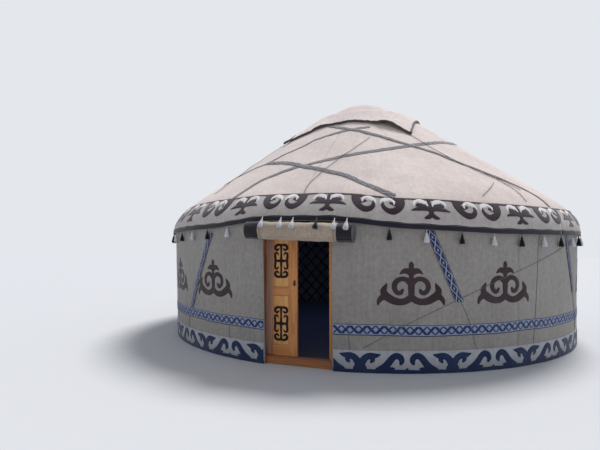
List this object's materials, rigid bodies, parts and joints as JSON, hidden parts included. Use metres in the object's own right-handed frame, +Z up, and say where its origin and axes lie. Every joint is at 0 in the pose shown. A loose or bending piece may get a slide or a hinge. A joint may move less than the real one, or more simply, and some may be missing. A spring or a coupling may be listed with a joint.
{
  "type": "yurt",
  "caption": "Round felt-covered tent house with a bent-pole roof, a lattice wall, a crown ring, tied woven bands and a two-leaf wooden door that opens inwards.",
  "frame": {"origin": "on the ground at the middle of the round floor", "axes": "+Z up, the door faces -Y, +X to the right when looking at the door"},
  "size_m": [7.2521, 7.4405, 4.2509],
  "materials": {
    "floor_felt": "felted wool, dark red",
    "frame_pine": "oiled pine",
    "leaf_pine": "oiled pine, worn at the left",
    "panel_pine": "oiled pine",
    "lattice_willow": "red-stained willow",
    "pole_willow": "red-stained willow",
    "crown_wood": "red-stained birch",
    "cover_felt": "cream wool felt",
    "wall_felt": "cream wool felt",
    "roof_felt": "cream wool felt",
    "frieze_felt": "cream wool felt",
    "skirt_felt": "pale wool felt",
    "woven_band": "woven wool",
    "roll_felt": "cream wool felt",
    "roll_dark_felt": "dark brown wool felt",
    "wool_rope": "twisted wool",
    "light_wool": "loose wool",
    "dark_wool": "loose wool"
  },
  "bodies": {
    "yurt": {"floor_mat": "floor_felt", "door_sill": "frame_pine", "door_jamb_left": "frame_pine", "door_jamb_right": "frame_pine", "door_lintel": "frame_pine", "lattice_1": "lattice_willow", "lattice_2": "lattice_willow", "lattice_3": "lattice_willow", "lattice_4": "lattice_willow", "lattice_5": "lattice_willow", "lattice_6": "lattice_willow", "roof_poles_1": "pole_willow", "roof_poles_2": "pole_willow", "roof_poles_3": "pole_willow", "roof_poles_4": "pole_willow", "crown_ring": "crown_wood", "crown_slats": "crown_wood", "crown_cover": "cover_felt", "wall_felt_1": "wall_felt", "wall_felt_2": "wall_felt", "wall_felt_3": "wall_felt", "wall_felt_4": "wall_felt", "wall_felt_5": "wall_felt", "wall_felt_6": "wall_felt", "wall_felt_7": "wall_felt", "wall_felt_8": "wall_felt", "wall_felt_9": "wall_felt", "roof_felt_1": "roof_felt", "roof_felt_2": "roof_felt", "roof_felt_3": "roof_felt", "roof_felt_4": "roof_felt", "roof_felt_5": "roof_felt", "roof_felt_6": "roof_felt", "eave_frieze_1": "frieze_felt", "eave_frieze_2": "frieze_felt", "eave_frieze_3": "frieze_felt", "skirt_1": "skirt_felt", "skirt_2": "skirt_felt", "skirt_3": "skirt_felt", "wall_band": "woven_band", "wall_straps": "woven_band", "roof_straps": "woven_band", "door_roll": "roll_felt", "door_roll_ends": "roll_dark_felt", "tassel_rope": "wool_rope", "tassels_light": "light_wool", "tassels_dark": "dark_wool"},
    "leaf_left": {"door_leaf_left": "leaf_pine", "door_panels_left": "panel_pine"},
    "leaf_right": {"door_leaf_right": "leaf_pine", "door_panels_right": "panel_pine"}
  },
  "joints": [
    {"name": "left_leaf_hinge", "type": "hinge", "parent": "yurt", "child": "leaf_left", "pos_m": [-0.4835, -3.3525, 0.905], "axis": [0, 0, 1], "range_deg": [0, 100]},
    {"name": "right_leaf_hinge", "type": "hinge", "parent": "yurt", "child": "leaf_right", "pos_m": [0.3935, -3.3525, 0.905], "axis": [0, 0, 1], "range_deg": [0, 100]}
  ]
}
